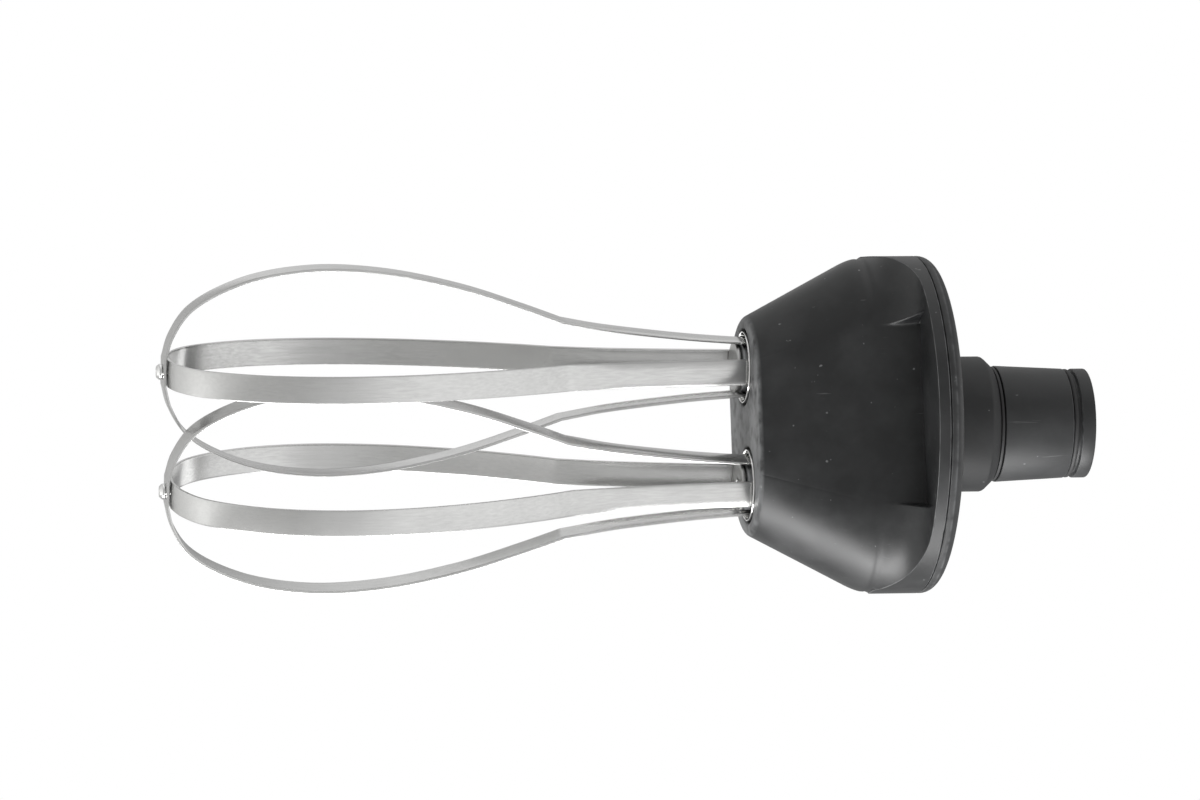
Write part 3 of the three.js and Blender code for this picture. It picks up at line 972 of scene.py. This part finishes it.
def curve_points(corners, count):
    """Points on the centripetal Catmull-Rom curve through corners, evenly spread over its spans."""
    first = Vector(corners[0]) * 2 - Vector(corners[1])
    last = Vector(corners[-1]) * 2 - Vector(corners[-2])
    knots = [first, *map(Vector, corners), last]
    made = []
    for index in range(count + 1):
        along = index / count * (len(corners) - 1)
        span = min(int(along), len(corners) - 2)
        share = along - span
        p0, p1, p2, p3 = knots[span : span + 4]
        d0, d1, d2 = ((b - a).length ** 0.5 for a, b in ((p0, p1), (p1, p2), (p2, p3)))
        start = ((p1 - p0) / d0 - (p2 - p0) / (d0 + d1) + (p2 - p1) / d1) * d1
        end = ((p2 - p1) / d1 - (p3 - p1) / (d1 + d2) + (p3 - p2) / d2) * d1
        made.append(
            p1 * (2 * share**3 - 3 * share**2 + 1)
            + start * (share**3 - 2 * share**2 + share)
            + p2 * (3 * share**2 - 2 * share**3)
            + end * (share**3 - share**2)
        )
    return made


KNEE = -137.0  # height where the flat strip bends and its trough begins
KNEE_RADIUS = 15.6
STRIP_END = -71.7  # upper ends of the strips, inside the cup
OUTER_TIP, INNER_TIP = -262.5, -261.2  # the inner loop lies inside the outer one


def strip_path(tip):
    """Half of a strip's side view, from the middle of the tip to its end in the socket."""
    belly = curve_points(
        [
            (4.2, tip),
            (11.2, tip + 2),
            (20, tip + 8),
            (28.6, tip + 24.2),
            (32.5, tip + 45.5),
            (31.5, tip + 68.5),
            (26.4, tip + 93.5),
            (20.1, tip + 113),
            (KNEE_RADIUS, KNEE),
        ],
        88,
    )
    shank = curve_points(
        [
            (KNEE_RADIUS, KNEE),
            (13.6, -124),
            (10.75, -100),
            (9.6, -86.6),
            (9.1, -78.5),
            (9.1, STRIP_END),
        ],
        44,
    )
    return [Vector((radius, tip)) for radius in (0.0, 1.7, 3.4)] + belly + shank[1:]


def strip(name, tip):
    """One strip loop in the XZ plane.

    A ribbon is laid along the path and troughed in the shanks, then gets its thickness.
    """
    sizes = bpy.context.scene.whisk_sizes
    half = strip_path(tip)
    path = [Vector((-p.x, p.y)) for p in reversed(half[1:])] + half
    across = 12
    crown = 0.12  # the flat belly is very slightly domed
    slopes = []
    for index in range(len(path)):
        before, after = path[max(index - 1, 0)], path[min(index + 1, len(path) - 1)]
        slopes.append((after - before).normalized())

    def place(column, row):
        side = column / across * 2 - 1
        point, slope = path[row], slopes[row]
        out = Vector((slope.y, -slope.x))
        depth = smooth((point.y - KNEE + 4) / 24)
        fold = -side * side * (sizes.trough * depth + crown * (1 - depth))
        reach = sizes.strip_width / 2 * (1 - 0.04 * depth)
        return point.x + out.x * fold, side * reach, point.y + out.y * fold

    piece = sheet_of(name, across, len(path) - 1, place)
    choose(piece)
    apply_modifier(
        piece, "SOLIDIFY", thickness=sizes.strip_thickness * MM, offset=0.0, use_even_offset=True
    )
    mend(piece)
    bevel(piece, 0.16, 2, 50)
    return piece


def turn_about(piece, degrees, x):
    """Turns a mesh that stands on the middle axis, and moves it to its whisk's axis."""
    turn = Matrix.Translation((x * MM, 0, 0)) @ Matrix.Rotation(math.radians(degrees), 4, "Z")
    piece.data.transform(turn)


class WHISKTOOL_OT_whisks(bpy.types.Operator):
    """The two whisks: strip loops, hubs with their washers, and tip rivets"""

    bl_idname = "whisktool.whisks"
    bl_label = "Whisks"

    def execute(self, context):
        for letter, angle in WHISKS.items():
            self.loops(letter, angle)
            self.hub(letter)
            self.rivet(letter)
        return {"FINISHED"}

    def loops(self, letter, angle):
        rivet_hole = 1.6
        for loop, tip, turn in (("outer", OUTER_TIP, 0), ("inner", INNER_TIP, 90)):
            node = f"whisk_{letter}_{loop}_loop"
            piece = strip(node, tip)
            corners = [(rivet_hole, tip - 3), (rivet_hole, tip + 3)]
            cut(piece, turned("hole", corners, segments=32))
            turn_about(piece, angle + turn, AXIS_X[letter])
            finish_piece(piece, f"{node}_strip", node, f"whisk_{letter}", "strip_steel", 40)

    def hub(self, letter):
        x, body = AXIS_X[letter], f"whisk_{letter}"
        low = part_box(f"{body}_hub")[0].z / MM
        outer, hole, shank = 7.8, 2.2, 4.5
        groove, groove_low, groove_high = 6.9, -71.2, -70
        top, shank_end = CUP_FLOOR - 0.3, -62.9
        profile = [
            (hole, low + 1.5),
            (hole, low),
            (outer - 0.6, low),
            (outer, low + 0.6),
            (outer, groove_low),
            (groove, groove_low),
            (groove, groove_high),
            (outer, groove_high),
            (outer, top),
            (shank, top),
            (shank, shank_end),
        ]
        piece = turned("hub", profile, x, segments=72)
        finish_piece(piece, f"{body}_hub_body", f"{body}_hub", body, "aluminium")
        low, high = box_of(f"{body}_hub_washer")
        piece = ring("washer", 8, 2.4, low.z, high.z, x, 0, 72)
        bevel(piece, 0.2, 2)
        finish_piece(piece, f"{body}_washer", f"{body}_hub_washer", body, "fixing_steel")

    def rivet(self, letter):
        node = f"whisk_{letter}_tip_rivet"
        low, high = (corner.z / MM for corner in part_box(node))
        seat, head, stem = low + 1.45, 2.5, 1.3
        dish = [(0.3, low + 0.6), (1.25, low + 0.5), (1.55, low), (1.75, low), (2.45, low + 0.8)]
        tail = [(stem, high - 1.15), (2.2, high - 1.15), (1.6, high - 0.3), (0.5, high)]
        profile = [*dish, (head, low + 1.0), (head, seat), (stem, seat), *tail]
        piece = turned("rivet", profile, AXIS_X[letter], segments=48)
        body = f"whisk_{letter}"
        finish_piece(piece, f"{body}_rivet", node, body, "polished_steel", 25)


class WHISKTOOL_OT_frame_finishes(bpy.types.Operator):
    """Gives every CAD part that stays in place the finish of its material slot"""

    bl_idname = "whisktool.frame_finishes"
    bl_label = "Finishes of the inner parts"

    def execute(self, context):
        slots = {part["node"]: part["material_slot"] for part in frame["record"]["subparts"]}
        for node, piece in frame["nodes"].items():
            piece.data.materials.clear()
            piece.data.materials.append(MATERIALS[slots[node]])
        return {"FINISHED"}


# Stage

VIEW_YAW = math.radians(10.45)  # the whisks' end is turned this much towards the viewer
VIEW_ROLL = math.radians(7.8)  # turn about the drive axis
VIEW_TILT = math.radians(-0.5)
VIEW_DISTANCE = 2.4
FRAME_WIDTH = 0.377  # width of what the camera sees at the object, metres
LENS_SENSOR = 36.0
LIGHTS = (
    # name, direction from the tool, distance, width, height in metres, power in watts
    ("key_softbox", (0.9, -0.03, -0.15), 1.1, 0.6, 1.2, 29.0),
    ("front_fill", (0.42, -0.65, 0.62), 1.6, 1.4, 1.4, 2.0),
    ("overhead", (0.0, 0.2, 1.0), 2.5, 2.0, 2.0, 14.0),
)
ROOM = 0.46  # strength of the surroundings in front of the tool
GLOWS = (
    # direction, where the glow starts, strength
    ((0.5, -0.55, 0.67), 0.35, 0.42),
    ((-1.0, 0.0, -0.2), 0.3, 0.7),
)
BACKDROP_SLOPE = (-0.3, 0, -1.1)  # the backdrop behind the tool gets brighter this way
BACKDROP_MIDDLE, BACKDROP_LEAST = 0.78, 0.38  # its strength straight behind, and its least
FLOOR_HEIGHT, FLOOR_SIZE = -1.3, 40
WHITE = (1, 1, 1, 1)


class WHISKTOOL_OT_stage(bpy.types.Operator):
    """Camera, soft lights, pale surroundings and floor"""

    bl_idname = "whisktool.stage"
    bl_label = "Stage"

    def execute(self, context):
        self.camera(context)
        self.lights()
        self.world(context)
        self.floor()
        return {"FINISHED"}

    def camera(self, context):
        back = Vector(
            (
                math.cos(VIEW_YAW) * math.sin(VIEW_ROLL),
                -math.cos(VIEW_YAW) * math.cos(VIEW_ROLL),
                -math.sin(VIEW_YAW),
            )
        )
        level = (Vector((0, 0, 1)) - back * back.z).normalized()
        upright = back.cross(level)
        right = level * math.cos(VIEW_TILT) + upright * math.sin(VIEW_TILT)
        up = upright * math.cos(VIEW_TILT) - level * math.sin(VIEW_TILT)
        data = bpy.data.cameras.new("camera")
        data.sensor_width = LENS_SENSOR
        data.lens = data.sensor_width * VIEW_DISTANCE / FRAME_WIDTH
        data.clip_end = 100.0
        camera = bpy.data.objects.new("camera", data)
        context.scene.collection.objects.link(camera)
        target = Vector((0, 0, -0.110)) - right * 0.0148 + up * 0.0085
        turn = Matrix((right, up, back)).transposed().to_4x4()
        camera.matrix_world = Matrix.Translation(target + back * VIEW_DISTANCE) @ turn
        context.scene.camera = camera

    def lights(self):
        middle = Vector((0, 0, -0.1))
        for name, direction, distance, width, height, power in LIGHTS:
            data = bpy.data.lights.new(name, "AREA")
            data.shape = "RECTANGLE"
            data.size, data.size_y = width, height
            data.energy = power
            lamp = bpy.data.objects.new(name, data)
            bpy.context.scene.collection.objects.link(lamp)
            away = Vector(direction).normalized()
            lamp.location = middle + away * distance
            lamp.rotation_mode = "QUATERNION"
            lamp.rotation_quaternion = away.to_track_quat("Z", "Y")

    def world(self, context):
        world = bpy.data.worlds.new("pale_surroundings")
        context.scene.world = world
        world.use_nodes = True
        tree = world.node_tree
        tree.nodes.clear()
        rays = add_node(tree, "ShaderNodeLightPath")
        seen = add_node(tree, "ShaderNodeBackground", {"Color": WHITE, "Strength": 1.0})
        # The backdrop behind the tool is lit brightly; the room in front of it and above is dimmer.
        where = add_node(tree, "ShaderNodeTexCoord").outputs["Generated"]
        axes = add_node(tree, "ShaderNodeSeparateXYZ", None, {"Vector": where})
        behind = add_node(
            tree,
            "ShaderNodeMapRange",
            {"interpolation_type": "SMOOTHSTEP", "From Min": 0.0, "From Max": 0.7},
            {"Value": axes.outputs["Y"]},
        )
        room = add_node(tree, "ShaderNodeValue").outputs[0]
        room.default_value = ROOM
        for side, start, level in GLOWS:
            glow = self.glow(tree, where, side, start, level)
            both = add_node(tree, "ShaderNodeMath", {"operation": "ADD"}, {0: room, 1: glow})
            room = both.outputs[0]
        leaning = {"operation": "DOT_PRODUCT", 1: BACKDROP_SLOPE}
        along = add_node(tree, "ShaderNodeVectorMath", leaning, {0: where}).outputs["Value"]
        middle = {"operation": "ADD", 1: BACKDROP_MIDDLE}
        fading = add_node(tree, "ShaderNodeMath", middle, {0: along}).outputs[0]
        least = {"operation": "MAXIMUM", 1: BACKDROP_LEAST}
        backdrop = add_node(tree, "ShaderNodeMath", least, {0: fading}).outputs[0]
        strength = add_node(
            tree,
            "ShaderNodeMix",
            {"data_type": "FLOAT"},
            {0: behind.outputs[0], 2: room, 3: backdrop},
        )
        felt = add_node(
            tree,
            "ShaderNodeBackground",
            {"Color": WHITE},
            {"Strength": strength.outputs[0]},
        )
        mixed = add_node(
            tree,
            "ShaderNodeMixShader",
            None,
            {0: rays.outputs["Is Camera Ray"], 1: felt.outputs[0], 2: seen.outputs[0]},
        )
        add_node(tree, "ShaderNodeOutputWorld", None, {"Surface": mixed.outputs[0]})
        context.scene.view_settings.view_transform = "Standard"

    def glow(self, tree, where, side, start, level):
        """A soft patch of light in the surroundings, strongest towards one side."""
        towards = add_node(
            tree, "ShaderNodeVectorMath", {"operation": "DOT_PRODUCT", 1: side}, {0: where}
        )
        patch = add_node(
            tree,
            "ShaderNodeMapRange",
            {"interpolation_type": "SMOOTHSTEP", "From Min": start, "To Max": level},
            {"Value": towards.outputs["Value"]},
        )
        return patch.outputs[0]

    def floor(self):
        unselect()
        bpy.ops.mesh.primitive_plane_add(size=FLOOR_SIZE, location=(0, 0, FLOOR_HEIGHT))
        floor = bpy.context.object
        floor.name = "floor"
        material, tree = start_material("pale_matt_floor")
        place = add_node(tree, "ShaderNodeTexCoord").outputs["Object"]
        mottle = add_node(tree, "ShaderNodeTexNoise", {"Scale": 3.0}, {"Vector": place})
        tint = add_node(
            tree,
            "ShaderNodeMix",
            {"data_type": "RGBA", 6: colour("F4F4F3"), 7: colour("F1F1F0")},
            {0: mottle.outputs[0]},
        )
        end_material(tree, {"Roughness": 0.9}, {"Base Color": tint.outputs[2]})
        floor.data.materials.append(material)


class WHISKTOOL_PT_panel(bpy.types.Panel):
    bl_label = "Whisk tool"
    bl_idname = "WHISKTOOL_PT_panel"
    bl_space_type = "VIEW_3D"
    bl_region_type = "UI"
    bl_category = "Whisk tool"

    def draw(self, context):
        scene = context.scene
        for group in (scene.whisk_casing, scene.whisk_sizes, scene.whisk_colours):
            for name in group.__annotations__:
                self.layout.prop(group, name)
        for step in STEPS:
            self.layout.operator(step.bl_idname)


GROUPS = {"whisk_casing": CasingSizes, "whisk_sizes": WhiskSizes, "whisk_colours": Colours}
STEPS = (
    WHISKTOOL_OT_stage,
    WHISKTOOL_OT_frame_finishes,
    WHISKTOOL_OT_casing,
    WHISKTOOL_OT_cover,
    WHISKTOOL_OT_sleeve,
    WHISKTOOL_OT_spindles,
    WHISKTOOL_OT_whisks,
)


def register():
    for group in GROUPS.values():
        bpy.utils.register_class(group)
    for name, group in GROUPS.items():
        setattr(bpy.types.Scene, name, bpy.props.PointerProperty(type=group))
    for step in STEPS:
        bpy.utils.register_class(step)
    bpy.utils.register_class(WHISKTOOL_PT_panel)


def unregister():
    bpy.utils.unregister_class(WHISKTOOL_PT_panel)
    for step in reversed(STEPS):
        bpy.utils.unregister_class(step)
    for name, group in GROUPS.items():
        delattr(bpy.types.Scene, name)
        bpy.utils.unregister_class(group)


def main():
    register()
    MATERIALS.update(make_materials())
    for step in STEPS:
        group, name = step.bl_idname.split(".")
        getattr(getattr(bpy.ops, group), name)()


if __name__ == "__main__":
    main()
